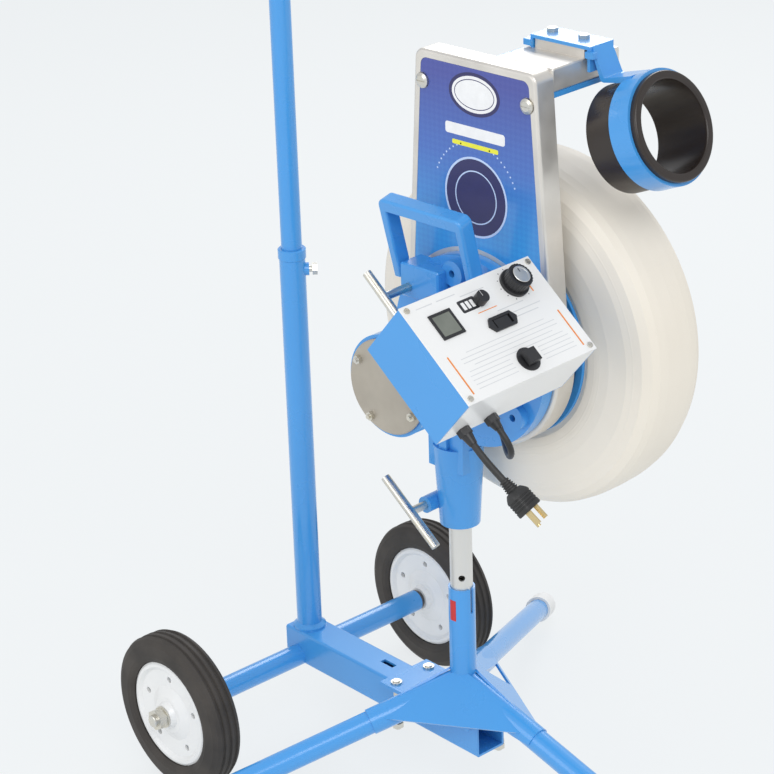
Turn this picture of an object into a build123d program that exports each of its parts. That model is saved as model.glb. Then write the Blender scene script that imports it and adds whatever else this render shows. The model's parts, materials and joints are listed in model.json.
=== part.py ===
from build123d import *

from math import cos, hypot, pi, radians, sin, tan
import os

# Single-wheel softball pitching machine on a two-wheeled tripod cart.
# Everything below is drawn with the mast's axis as x = y = 0 and the floor as z = 0, +Z up,
# +X along the throwing wheel's shaft and +Y the way the ball leaves.
# The finished pieces are moved by MAST_Y so that the origin is the middle of the footprint.

# ---------------------------------------------------------------- driving dimensions, mm
MAST_Y = 49.9             # mast axis in the finished frame
CART_TURN = -3.4          # the cart's beam is clamped a little askew under the tripod, degrees

WHEEL_Y = -32.6           # throwing wheel's axis, measured from the mast
WHEEL_Z = 616.5
WHEEL_R = 211.0           # 16.6 in over the tread
WHEEL_X0 = 43.9           # inner face of the tyre
WHEEL_W = 111.3
WHEEL_X = WHEEL_X0 + WHEEL_W / 2
SHAFT_R = 9.5
RUNNING = 0.05            # radial clearance of every turning fit

MAST_R = 13.5
SOCKET_R = 16.0
SOCKET_TOP = 302.0
SOCKET_REACH = 118.0      # how far the leg sockets run out from the mast
LEG_ANGLES = {"leg_right": 30.0, "leg_left": 150.0, "leg_front": 270.0}
LEG_R = 14.3
FOOT_R = 17.6
FOOT_REACH = 484.0
HUB_Z = 175.0             # where the three leg axes meet on the mast axis

BEAM = 44.45              # square tube, 1.75 in
BEAM_WALL = 3.0
BEAM_Z = 115.0
BEAM_TOP = BEAM_Z + BEAM / 2

AXLE_Y = 287.9
CART_R = 101.6            # 8 in cart wheels
TRACK = 431.0
AXLE_TUBE_R = 14.0
AXLE_R = 8.0
AXLE_TUBE_HALF = 184.0

POLE_R = 15.875           # 1.25 in lower tube
POLE_BORE_R = 13.0
GRIP_TUBE_R = 12.7        # 1 in upper tube
POLE_TOP = 655.0
CROSSBAR_Z = 1180.0

PLATE_X = 1.5             # front face of the head's housing
PLATE_DEPTH = 28.5
PLATE_TOP = 333.8         # above the wheel axis
PLATE_HALF_TOP = 87.8
PLATE_TAPER = 0.0717      # half width gained per mm down
BOSS_R = 118.0
SPIGOT_R = 64.95
MOTOR_R = 54.9
MOTOR_X0 = -148.0
BEARING_R = 20.0

YOKE_R = 113.0
YOKE_FACE = -16.0
YOKE_BACK = 1.0
SLEEVE_Z0 = 388.0
SLEEVE_TOP = 490.0

BALL_R = 48.5             # 12 in softball
CHUTE_R = 60.4
CHUTE_BORE_R = 50.5
CHUTE_LENGTH = 73.0
CHUTE_DROP = 22.3         # degrees below level
CHUTE_MOUTH = (WHEEL_X, -231.5, 893.0)

PANEL_TILT = 39.76        # the control panel's slope, degrees from level
BOX_W = 197.9
BOX_H = 125.7
BOX_D = 75.8
BOX_CORNER = (-229.8, -138.1, 761.3)
SHEET = 2.0

CORD_D = 7.6
LEAD_D = 7.0

# ---------------------------------------------------------------- frames and small helpers
CENTRE_MIN = (Align.CENTER, Align.CENTER, Align.MIN)
to_row = Location((0, MAST_Y, 0))
to_cart = to_row * Location((0, 0, 0), (0, 0, CART_TURN))

slope = radians(PANEL_TILT)
panel_out = Vector(0, -sin(slope), cos(slope))
panel_down = Vector(0, -cos(slope), -sin(slope))
panel_centre = Vector(*BOX_CORNER) + Vector(BOX_W / 2, 0, 0) + panel_down * (BOX_H / 2)
panel = Plane(origin=panel_centre, x_dir=(1, 0, 0), z_dir=panel_out)

drop = radians(CHUTE_DROP)
chute_in = Vector(0, cos(drop), -sin(drop))
chute_mouth = Plane(origin=CHUTE_MOUTH, x_dir=(1, 0, 0), z_dir=chute_in)

os.makedirs("parts", exist_ok=True)


def keep(builder, name, place=to_row):
    """Label a finished piece, put it in the finished frame and write it."""
    piece = builder.part.moved(place)
    piece.label = name
    export_step(piece, f"parts/{name}.step")


def bar(start, end, radius, mode=Mode.ADD):
    """Round bar, or round hole, from one point to another."""
    run = Vector(*end) - Vector(*start)
    with Locations(Plane(origin=start, z_dir=run).location):
        Cylinder(radius, run.length, align=CENTRE_MIN, mode=mode)


def block(low, high, mode=Mode.ADD, bevel=0.0):
    """Rectangular block between two corners, with small chamfers if asked."""
    size = Vector(*high) - Vector(*low)
    with Locations((Vector(*high) + Vector(*low)) / 2):
        piece = Box(size.X, size.Y, size.Z, mode=Mode.PRIVATE if bevel else mode)
    if bevel:
        add(piece.chamfer(bevel, None, piece.edges()), mode=mode)


def turned(outline, centre, axis=(1, 0, 0)):
    """Solid of revolution: the outline gives (distance along the axis, radius)."""
    across = Vector(*axis).cross(Vector(0.3, 0.5, 0.8)).normalized()
    with BuildSketch(Plane(origin=centre, x_dir=axis, z_dir=Vector(*axis).cross(across))) as half:
        with BuildLine():
            Polyline(*outline, close=True)
        make_face()
    revolve(half.sketch, axis=Axis(centre, axis))


def hexagon(start, end, flats, mode=Mode.ADD):
    """Hexagonal head or nut from one point to another, by its size across flats."""
    run = Vector(*end) - Vector(*start)
    with BuildSketch(Plane(origin=start, z_dir=run)) as outline:
        RegularPolygon(flats / 2, 6, major_radius=False)
    extrude(outline.sketch, amount=run.length, mode=mode)


def wheel_point(x, radius, angle):
    """Point at a radius and angle (from +Y towards +Z) about the throwing wheel's axis."""
    a = radians(angle)
    return (x, WHEEL_Y + radius * cos(a), WHEEL_Z + radius * sin(a))


def leg_point(angle, reach):
    """Point on a leg's axis at a horizontal distance from the mast."""
    a = radians(angle)
    return (reach * cos(a), reach * sin(a), HUB_Z - (HUB_Z - FOOT_R) * reach / FOOT_REACH)


def on_panel(across, down, out=0.0):
    """Point on the control box: from the panel's top left corner, and out of its face."""
    return panel.from_local_coords((across - BOX_W / 2, BOX_H / 2 - down, out))


# ---------------------------------------------------------------- tripod
RIDGE_TOP = 190.0
GUSSET_T = 3.0
GUSSET_START = 14.0
GUSSET_SKIRT = 7.0


def gusset(facing, window=False):
    """Sheet face between two neighbouring legs, from the mast down to the socket ends."""
    a = radians(facing)
    out = Vector(cos(a), sin(a), 0)
    side = Vector(-sin(a), cos(a), 0)
    ridge_out = SOCKET_REACH * cos(radians(60)) - GUSSET_START
    ridge_drop = RIDGE_TOP - (leg_point(0, SOCKET_REACH)[2] + SOCKET_R)
    per_out = hypot(ridge_out, ridge_drop) / ridge_out
    up = (Vector(0, 0, ridge_drop) - out * ridge_out).normalized()
    ridge_half = SOCKET_REACH * sin(radians(60))
    skirt_half = ridge_half - GUSSET_SKIRT / 2
    ridge_y = -ridge_out * per_out
    skirt_y = -(ridge_out + GUSSET_SKIRT * sin(radians(60))) * per_out
    corner = out * GUSSET_START + Vector(0, 0, RIDGE_TOP)
    with BuildSketch(Plane(origin=corner, x_dir=side, z_dir=side.cross(up))) as face:
        with BuildLine():
            Polyline(
                (-10, 0), (10, 0), (ridge_half, ridge_y), (skirt_half, skirt_y),
                (-skirt_half, skirt_y), (-ridge_half, ridge_y), close=True,
            )
        make_face()
        if window:
            with BuildLine():
                Polyline((8, -22), (62, -62), (8, -62), close=True)
            make_face(mode=Mode.SUBTRACT)
    extrude(face.sketch, amount=-GUSSET_T)


# studs of the two clamps that hold the beam, across and along it
CLAMP_STUDS = [(-27, 92), (27, 92), (27, -31)]
CLAMP_BAR = 6.0

with BuildPart() as tripod_hub:
    bar((0, 0, BEAM_TOP), (0, 0, SOCKET_TOP), SOCKET_R)
    for leg_angle in LEG_ANGLES.values():
        bar(leg_point(leg_angle, 0), leg_point(leg_angle, SOCKET_REACH), SOCKET_R)
    gusset(90)
    gusset(210)
    gusset(330, window=True)
    # flat saddle that sits on the beam, square to it, and the sheet trimmed where the beam passes
    with Locations(Location((0, 0, 0), (0, 0, CART_TURN)) * Location((0, 31, BEAM_TOP))):
        Box(78, 156, 5, align=CENTRE_MIN)
        Box(BEAM + 1, 400, BEAM, align=(Align.CENTER, Align.CENTER, Align.MAX), mode=Mode.SUBTRACT)
    bar((0, 0, BEAM_TOP + 5), (0, 0, SOCKET_TOP + 1), MAST_R + 0.3, Mode.SUBTRACT)
    for leg_angle in LEG_ANGLES.values():
        bar(leg_point(leg_angle, 33), leg_point(leg_angle, 140), LEG_R + RUNNING, Mode.SUBTRACT)
    # pinch slot in the mast socket
    block((-2, -SOCKET_R - 2, SOCKET_TOP - 32), (2, 0, SOCKET_TOP + 1), Mode.SUBTRACT)
    # clearance for the studs
    for stud_x, stud_y in CLAMP_STUDS:
        with Locations(Location((0, 0, 0), (0, 0, CART_TURN)) * Location((stud_x, stud_y, BEAM_TOP - 2))):
            Cylinder(4.3, 14, align=CENTRE_MIN, mode=Mode.SUBTRACT)
keep(tripod_hub, "tripod_hub")

for leg_name, leg_angle in LEG_ANGLES.items():
    with BuildPart() as leg:
        bar(leg_point(leg_angle, 34), leg_point(leg_angle, FOOT_REACH - 8), LEG_R)
        bar(leg_point(leg_angle, 20), leg_point(leg_angle, FOOT_REACH), LEG_R - 1.6, Mode.SUBTRACT)
    keep(leg, leg_name)

with BuildPart() as foot_caps:
    for leg_angle in LEG_ANGLES.values():
        bar(leg_point(leg_angle, FOOT_REACH - 36), leg_point(leg_angle, FOOT_REACH), FOOT_R)
        with Locations(leg_point(leg_angle, FOOT_REACH)):
            Sphere(FOOT_R)
    for leg_angle in LEG_ANGLES.values():
        bar(leg_point(leg_angle, FOOT_REACH - 60), leg_point(leg_angle, FOOT_REACH - 7.5),
            LEG_R + RUNNING, Mode.SUBTRACT)
keep(foot_caps, "foot_caps")

# ---------------------------------------------------------------- mast
MAST_Z0 = 205.0
MAST_Z1 = 480.0

with BuildPart() as mast:
    bar((0, 0, MAST_Z0), (0, 0, MAST_Z1), MAST_R)
    bar((0, 0, MAST_Z0 - 1), (0, 0, MAST_Z1 + 1), MAST_R - 3.5, Mode.SUBTRACT)
    bar((-20, -20, 318), (20, 20, 318), 4, Mode.SUBTRACT)
keep(mast, "mast")

# ---------------------------------------------------------------- cart: beam, axle, pole
BEAM_Y0 = -45.0
BEAM_Y1 = 309.0
CLAMP_ROD_R = 4.0

with BuildPart() as cart_beam:
    block((-BEAM / 2, BEAM_Y0, BEAM_Z - BEAM / 2), (BEAM / 2, BEAM_Y1, BEAM_TOP))
    long_edges = cart_beam.edges().filter_by(Axis.Y)
    fillet(long_edges, 3)
    hollow = BEAM / 2 - BEAM_WALL
    block((-hollow, BEAM_Y0 - 1, BEAM_Z - hollow), (hollow, BEAM_Y1 + 1, BEAM_Z + hollow), Mode.SUBTRACT)
    with Locations((4, 141, BEAM_TOP)):
        Box(8, 22, 12, mode=Mode.SUBTRACT)
    # the axle tube is welded through the beam's end
    bar((-AXLE_TUBE_HALF, AXLE_Y, CART_R), (AXLE_TUBE_HALF, AXLE_Y, CART_R), AXLE_TUBE_R)
    bar((-200, AXLE_Y, CART_R), (200, AXLE_Y, CART_R), AXLE_R + RUNNING, Mode.SUBTRACT)
keep(cart_beam, "cart_beam", to_cart)

HUB_HALF = 25.0
AXLE_END = TRACK / 2 + HUB_HALF + 18

with BuildPart() as axle_spacers:
    for side in (-1, 1):
        turned(
            [(side * (AXLE_TUBE_HALF + 0.2), AXLE_R + RUNNING), (side * (AXLE_TUBE_HALF + 0.2), 13.5),
             (side * (AXLE_TUBE_HALF + 3), 13.5), (side * (AXLE_TUBE_HALF + 3), 11),
             (side * (TRACK / 2 - HUB_HALF - 0.4), 11), (side * (TRACK / 2 - HUB_HALF - 0.4), AXLE_R + RUNNING)],
            (0, AXLE_Y, CART_R),
        )
keep(axle_spacers, "axle_spacers", to_cart)

with BuildPart() as axle_rod:
    bar((-AXLE_END, AXLE_Y, CART_R), (AXLE_END, AXLE_Y, CART_R), AXLE_R)
    chamfer(axle_rod.edges(), 1)
    # a washer and a nut screwed on at each end
    for side in (-1, 1):
        face = TRACK / 2 + HUB_HALF + 0.4
        bar((side * face, AXLE_Y, CART_R), (side * (face + 2), AXLE_Y, CART_R), 14)
        hexagon((side * (face + 2), AXLE_Y, CART_R), (side * (face + 13), AXLE_Y, CART_R), 23.8)
keep(axle_rod, "axle_rod", to_cart)

for side, wheel_name in ((-1, "left"), (1, "right")):
    middle = side * TRACK / 2
    with BuildPart() as cart_tyre:
        groove = 2.2
        tread = [(-22, 78), (-20.5, 92), (-17, 98.6), (-13, 100.6)]
        for rib in (-9.5, 0.0, 9.5):
            crown = CART_R - abs(rib) * 0.05
            tread += [(rib - 2.8, crown), (rib - 1.4, crown - groove), (rib + 1.4, crown - groove),
                      (rib + 2.8, crown)]
        tread += [(13, 100.6), (17, 98.6), (20.5, 92), (22, 78), (20.5, 73), (17.6, 69.2), (14.4, 69.2),
                  (14.4, 63.5), (-14.4, 63.5), (-14.4, 69.2), (-17.6, 69.2), (-20.5, 73)]
        turned(tread, (middle, AXLE_Y, CART_R))
    keep(cart_tyre, f"cart_tyre_{wheel_name}", to_cart)
    with BuildPart() as cart_disc:
        # pressed half discs welded along the bead and to the hub tube, which turns on the axle
        turned(
            [(-17, 65.7), (-15.4, 68.5), (-14.6, 63.4), (14.6, 63.4), (15.4, 68.5), (17, 65.7),
             (17.5, 62), (13, 58), (12, 36), (18, 24), (18, 17.6), (HUB_HALF, 15),
             (HUB_HALF, AXLE_R + RUNNING), (-HUB_HALF, AXLE_R + RUNNING), (-HUB_HALF, 15),
             (-18, 17.6), (-18, 24), (-12, 36), (-13, 58), (-17.5, 62)],
            (middle, AXLE_Y, CART_R),
        )
        for step in range(5):
            turn_angle = radians(72 * step + 18)
            hole_y = AXLE_Y + 47 * cos(turn_angle)
            hole_z = CART_R + 47 * sin(turn_angle)
            bar((middle - 20, hole_y, hole_z), (middle + 20, hole_y, hole_z), 4, Mode.SUBTRACT)
    keep(cart_disc, f"cart_disc_{wheel_name}", to_cart)

with BuildPart() as beam_clamps:
    under = BEAM_Z - BEAM / 2 - CLAMP_BAR
    block((-33, 87, under), (33, 97, under + CLAMP_BAR), bevel=1)
    block((-14, -36, under), (33, -26, under + CLAMP_BAR), bevel=1)
    for stud_x, stud_y in CLAMP_STUDS:
        bar((stud_x, stud_y, under - 9), (stud_x, stud_y, BEAM_TOP + 5), CLAMP_ROD_R)
        hexagon((stud_x, stud_y, under - 6.5), (stud_x, stud_y, under), 13)
        # low round head on the saddle
        bar((stud_x, stud_y, BEAM_TOP + 5), (stud_x, stud_y, BEAM_TOP + 7.4), 7)
        bar((stud_x, stud_y, BEAM_TOP + 7.4), (stud_x, stud_y, BEAM_TOP + 9), 4.8)
keep(beam_clamps, "beam_clamps", to_cart)

SCREW_Z = 627.0
screw_way = Vector(cos(radians(-40)), sin(radians(-40)), 0)


def pole_point(out, z=SCREW_Z):
    """Point beside the pole, along its lock screw."""
    return (out * screw_way.X, AXLE_Y + out * screw_way.Y, z)


with BuildPart() as pole_lower:
    bar((0, AXLE_Y, BEAM_TOP), (0, AXLE_Y, POLE_TOP), POLE_R)
    turned([(0, POLE_R - 1), (0, 21), (3, 21), (8, POLE_R - 1)], (0, AXLE_Y, BEAM_TOP), (0, 0, 1))
    turned([(-14, POLE_R - 1), (-12, 17.2), (-1, 17.2), (0, 16), (0, POLE_R - 1)],
           (0, AXLE_Y, POLE_TOP), (0, 0, 1))
    bar(pole_point(12), pole_point(20), 8)
    bar((0, AXLE_Y, BEAM_TOP + 4), (0, AXLE_Y, POLE_TOP + 1), POLE_BORE_R, Mode.SUBTRACT)
    bar(pole_point(0), pole_point(21), 4 + RUNNING, Mode.SUBTRACT)
keep(pole_lower, "pole_lower", to_cart)

with BuildPart() as pole_upper:
    bar((0, AXLE_Y, 470), (0, AXLE_Y, CROSSBAR_Z), GRIP_TUBE_R)
    bar((-150, AXLE_Y, CROSSBAR_Z), (150, AXLE_Y, CROSSBAR_Z), GRIP_TUBE_R)
    bar((0, AXLE_Y, 469), (0, AXLE_Y, CROSSBAR_Z - GRIP_TUBE_R), GRIP_TUBE_R - 1.6, Mode.SUBTRACT)
    bar((-151, AXLE_Y, CROSSBAR_Z), (151, AXLE_Y, CROSSBAR_Z), GRIP_TUBE_R - 1.6, Mode.SUBTRACT)
keep(pole_upper, "pole_upper", to_cart)

with BuildPart() as handle_grips:
    for side in (-1, 1):
        ribs = [(side * 38, GRIP_TUBE_R + RUNNING), (side * 38, 17), (side * 42, 18.5)]
        for step in range(9):
            ribs += [(side * (46 + 11 * step), 16.2), (side * (50 + 11 * step), 17.2),
                     (side * (54 + 11 * step), 16.2)]
        ribs += [(side * 148, 18), (side * 154, 15), (side * 154, 0), (side * 150.2, 0),
                 (side * 150.2, GRIP_TUBE_R + RUNNING)]
        turned(ribs, (0, AXLE_Y, CROSSBAR_Z))
keep(handle_grips, "handle_grips", to_cart)

with BuildPart() as pole_screw:
    bar(pole_point(13.2), pole_point(24), 4)
    hexagon(pole_point(24), pole_point(30), 13)
keep(pole_screw, "pole_lock_screw", to_cart)

# ---------------------------------------------------------------- yoke: the casting on the mast
LOWER_CLAMP = (22.0, 414.5)       # y and z of the swivel clamp's screw
UPPER_CLAMP = (34.0, 685.0)       # y and z of the tilt clamp's screw
CLAMP_R = 5.0
LUG_ANGLES = (82, 217, 330)
RING_R = 74.0                     # retaining ring behind the yoke

with BuildPart() as yoke:
    with Locations((0, 0, SLEEVE_Z0)):
        Cone(24, 30, SLEEVE_TOP - SLEEVE_Z0, align=CENTRE_MIN)
    block((YOKE_FACE - 6, -27, 462), (YOKE_BACK, 27, 545))
    block((-27, -6, 470), (YOKE_FACE + 1, 6, 540))
    bar((YOKE_FACE, WHEEL_Y, WHEEL_Z), (YOKE_BACK, WHEEL_Y, WHEEL_Z), YOKE_R)
    bar((-22, WHEEL_Y, WHEEL_Z), (YOKE_FACE, WHEEL_Y, WHEEL_Z), 78)
    for lug_angle in LUG_ANGLES:
        bar(wheel_point(-26, 94, lug_angle), wheel_point(YOKE_FACE, 94, lug_angle), 15)
    # boss and ears of the two clamps
    bar((-36, *LOWER_CLAMP), (26, *LOWER_CLAMP), 10)
    block((-40, -11, 672), (-5, 48, 712), bevel=2)
    # bores
    bar((0, 0, SLEEVE_Z0 - 1), (0, 0, MAST_Z1 + 1), MAST_R + RUNNING, Mode.SUBTRACT)
    bar((-60, WHEEL_Y, WHEEL_Z), (-22.2, WHEEL_Y, WHEEL_Z), RING_R + 0.6, Mode.SUBTRACT)
    bar((-60, WHEEL_Y, WHEEL_Z), (YOKE_BACK + 1, WHEEL_Y, WHEEL_Z), SPIGOT_R + RUNNING, Mode.SUBTRACT)
    bar((-41, *LOWER_CLAMP), (27, *LOWER_CLAMP), CLAMP_R + RUNNING, Mode.SUBTRACT)
    bar((-41, *UPPER_CLAMP), (YOKE_BACK + 1, *UPPER_CLAMP), CLAMP_R + RUNNING, Mode.SUBTRACT)
    block((-1.2, 12, SLEEVE_Z0 - 1), (1.2, 36, 440), Mode.SUBTRACT)
    for lug_angle in LUG_ANGLES:
        bar(wheel_point(-27, 94, lug_angle), wheel_point(YOKE_BACK + 1, 94, lug_angle), 4.25, Mode.SUBTRACT)
keep(yoke, "yoke")

HANDLE_Y = -4.0
HANDLE_HALF = 63.0
HANDLE_LEAN = 14.0
handle_plane = Plane(
    origin=(-26, HANDLE_Y, 686), x_dir=(0, 1, 0),
    z_dir=(cos(radians(HANDLE_LEAN)), 0, sin(radians(HANDLE_LEAN))),
)

with BuildPart() as carry_handle:
    with BuildSketch(handle_plane):
        with BuildLine():
            Polyline((-HANDLE_HALF, 9), (-HANDLE_HALF, 110), (HANDLE_HALF, 110), (HANDLE_HALF, 9),
                     (HANDLE_HALF - 11, 9), (HANDLE_HALF - 11, 96), (-HANDLE_HALF + 11, 96),
                     (-HANDLE_HALF + 11, 9), close=True)
        make_face()
        top_corners = vertices().group_by(Axis.Y)[-1]
        fillet(top_corners, 9)
    extrude(amount=10, both=True)
    fillet(carry_handle.edges().filter_by(Axis((0, 0, 0), handle_plane.y_dir)), 3)
    block((YOKE_FACE - 0.05, -90, 660), (10, 90, 800), Mode.SUBTRACT)
keep(carry_handle, "carry_handle")


def t_handle(clamp, grip_x, tip_x, half, lean, radius):
    """Clamp screw with a round bar welded across its outer end."""
    y, z = clamp
    bar((grip_x, y, z), (tip_x, y, z), CLAMP_R)
    across = Vector(0, cos(radians(lean)), sin(radians(lean))) * half
    centre = Vector(grip_x, y, z)
    bar(centre - across, centre + across, radius)


with BuildPart() as swivel_clamp:
    t_handle(LOWER_CLAMP, -60, 34, 51, 39, 5.5)
keep(swivel_clamp, "swivel_clamp")

with BuildPart() as tilt_clamp:
    t_handle(UPPER_CLAMP, -80, 0.9, 34, 41, 5.4)
keep(tilt_clamp, "tilt_clamp")

# ---------------------------------------------------------------- head housing
plate_plane = Plane(origin=(PLATE_X, WHEEL_Y, WHEEL_Z), x_dir=(0, 1, 0), z_dir=(1, 0, 0))
PLATE_BORDER = 9.0
PLATE_WALL = 8.5


def plate_outline(inset, corner):
    """The housing's tapered outline, standing on its round boss."""
    half_low = PLATE_HALF_TOP + PLATE_TAPER * PLATE_TOP - inset
    half_top = PLATE_HALF_TOP - inset
    top = PLATE_TOP - inset
    with BuildLine() as sides:
        Polyline((-half_low, 0), (-half_top, top), (half_top, top), (half_low, 0), close=True)
    make_face(sides.edges())
    corners = vertices().group_by(Axis.Y)[-1]
    fillet(corners, corner)


SCREW_SPOTS = [(77.0, 298.0), (-77.0, 298.0)]
SPIGOT_END = -22.4

with BuildPart() as housing:
    with BuildSketch(plate_plane):
        plate_outline(0, 12)
        Circle(BOSS_R)
    extrude(amount=PLATE_DEPTH)
    fillet(housing.faces().sort_by(Axis.X)[0].edges(), 3.5)
    with BuildSketch(plate_plane.offset(PLATE_WALL)):
        plate_outline(7, 8)
        Circle(BOSS_R - 7)
    extrude(amount=PLATE_DEPTH, mode=Mode.SUBTRACT)
    # bearing boss, ribs and the spigot that turns in the yoke
    back = PLATE_X + PLATE_DEPTH
    bar((PLATE_X + PLATE_WALL - 1, WHEEL_Y, WHEEL_Z), (back, WHEEL_Y, WHEEL_Z), 30)
    for rib_angle in (0, 90, 180, 270):
        with Locations(Location(wheel_point(PLATE_X + PLATE_WALL + 8, 70, rib_angle), (rib_angle, 0, 0))):
            Box(20, 88, 5)
    block((PLATE_X + 6, WHEEL_Y - 2.5, WHEEL_Z + 100), (back - 2, WHEEL_Y + 2.5, WHEEL_Z + PLATE_TOP - 4))
    bar((SPIGOT_END, WHEEL_Y, WHEEL_Z), (PLATE_X + 1, WHEEL_Y, WHEEL_Z), SPIGOT_R)
    bar((SPIGOT_END - 1, WHEEL_Y, WHEEL_Z), (PLATE_X, WHEEL_Y, WHEEL_Z), MOTOR_R + 0.3, Mode.SUBTRACT)
    bar((PLATE_X + 4, WHEEL_Y, WHEEL_Z), (back + 1, WHEEL_Y, WHEEL_Z), BEARING_R, Mode.SUBTRACT)
    bar((-30, WHEEL_Y, WHEEL_Z), (PLATE_X + 9, WHEEL_Y, WHEEL_Z), 14, Mode.SUBTRACT)
    # shallow recess for the label, and the two screw holes
    with BuildSketch(plate_plane):
        plate_outline(PLATE_BORDER, 9)
        Circle(BOSS_R, mode=Mode.SUBTRACT)
    extrude(amount=1.2, mode=Mode.SUBTRACT)
    for spot_y, spot_z in SCREW_SPOTS:
        spot = (WHEEL_Y + spot_y, WHEEL_Z + spot_z)
        bar((-5, *spot), (back, *spot), 4.1, Mode.SUBTRACT)
        bar((-5, *spot), (PLATE_X + 1.2, *spot), 9.2, Mode.SUBTRACT)
keep(housing, "head_housing")

with BuildPart() as label_plate:
    with BuildSketch(plate_plane.offset(0.15)):
        plate_outline(PLATE_BORDER + 0.2, 9)
        Circle(BOSS_R, mode=Mode.SUBTRACT)
        with Locations(*SCREW_SPOTS):
            Circle(9.2, mode=Mode.SUBTRACT)
    extrude(amount=1.0)
keep(label_plate, "label_plate")

with BuildPart() as retaining_ring:
    bar((-26, WHEEL_Y, WHEEL_Z), (SPIGOT_END, WHEEL_Y, WHEEL_Z), RING_R)
    bar((-27, WHEEL_Y, WHEEL_Z), (0, WHEEL_Y, WHEEL_Z), MOTOR_R + 0.3, Mode.SUBTRACT)
keep(retaining_ring, "retaining_ring")

# ---------------------------------------------------------------- motor
CAN_WALL = 3.9

with BuildPart() as motor_can:
    bar((-144, WHEEL_Y, WHEEL_Z), (0.9, WHEEL_Y, WHEEL_Z), MOTOR_R)
    bar((-145, WHEEL_Y, WHEEL_Z), (-4, WHEEL_Y, WHEEL_Z), MOTOR_R - CAN_WALL, Mode.SUBTRACT)
    bar((-10, WHEEL_Y, WHEEL_Z), (2, WHEEL_Y, WHEEL_Z), 13, Mode.SUBTRACT)
keep(motor_can, "motor_can")

with BuildPart() as motor_cap:
    turned(
        [(MOTOR_X0, 0), (MOTOR_X0, 53.6), (MOTOR_X0 + 1.3, MOTOR_R), (-144, MOTOR_R), (-144, 27),
         (-130, 27), (-130, BEARING_R), (-143, BEARING_R), (-143, 0)],
        (0, WHEEL_Y, WHEEL_Z),
    )
    for step in range(4):
        bar(wheel_point(-150, 46, 30 + 90 * step), wheel_point(-140, 46, 30 + 90 * step), 2.6, Mode.SUBTRACT)
keep(motor_cap, "motor_end_cap")

with BuildPart() as motor_bolts:
    for step in range(4):
        hexagon(wheel_point(-152.5, 46, 30 + 90 * step), wheel_point(MOTOR_X0, 46, 30 + 90 * step), 9)
        bar(wheel_point(-155, 46, 30 + 90 * step), wheel_point(-6, 46, 30 + 90 * step), 2.5)
keep(motor_bolts, "motor_bolts")

with BuildPart() as motor_magnets:
    bar((-122, WHEEL_Y, WHEEL_Z), (-26, WHEEL_Y, WHEEL_Z), 42.9)
    bar((-123, WHEEL_Y, WHEEL_Z), (-25, WHEEL_Y, WHEEL_Z), 38.5, Mode.SUBTRACT)
    block((-130, WHEEL_Y - 60, WHEEL_Z - 9), (-20, WHEEL_Y + 60, WHEEL_Z + 9), Mode.SUBTRACT)
keep(motor_magnets, "motor_magnets")

with BuildPart() as motor_rotor:
    bar((-118, WHEEL_Y, WHEEL_Z), (-30, WHEEL_Y, WHEEL_Z), 37.5)
    bar((-128, WHEEL_Y, WHEEL_Z), (-118, WHEEL_Y, WHEEL_Z), 17)
    for step in range(12):
        slot_angle = 30 * step
        bar(wheel_point(-119, 36, slot_angle), wheel_point(-29, 36, slot_angle), 2.5, Mode.SUBTRACT)
    bar((-129, WHEEL_Y, WHEEL_Z), (-29, WHEEL_Y, WHEEL_Z), SHAFT_R, Mode.SUBTRACT)
keep(motor_rotor, "motor_rotor")

with BuildPart() as shaft_bearings:
    for bearing_x in (-143, 12):
        bar((bearing_x, WHEEL_Y, WHEEL_Z), (bearing_x + 13, WHEEL_Y, WHEEL_Z), BEARING_R)
    bar((-150, WHEEL_Y, WHEEL_Z), (30, WHEEL_Y, WHEEL_Z), SHAFT_R + RUNNING, Mode.SUBTRACT)
keep(shaft_bearings, "shaft_bearings")

# ---------------------------------------------------------------- throwing wheel
wheel_centre = (WHEEL_X, WHEEL_Y, WHEEL_Z)

with BuildPart() as drive_shaft:
    bar((-142, WHEEL_Y, WHEEL_Z), (112, WHEEL_Y, WHEEL_Z), SHAFT_R)
    chamfer(drive_shaft.edges(), 1)
keep(drive_shaft, "drive_shaft")

with BuildPart() as throwing_tyre:
    half = WHEEL_W / 2
    outer = [(half - 5.1, 112), (half - 4.1, 119), (half - 1.5, 124), (half - 0.2, 138), (half, 155), (half - 2.5, 178),
             (half - 8, 196), (half - 15, 204.5), (half - 24, 208.6), (20, 210.4), (0, WHEEL_R)]
    inner = [(half - 9, 112), (half - 8, 155), (half - 15, 188), (half - 25, 199), (0, 202)]
    mirrored = [(-x, r) for x, r in reversed(outer[:-1])]
    hidden = [(-x, r) for x, r in inner] + [(x, r) for x, r in reversed(inner[:-1])]
    turned(outer + mirrored + hidden, wheel_centre)
keep(throwing_tyre, "throwing_tyre")

DISC_X = WHEEL_X - 40

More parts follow.
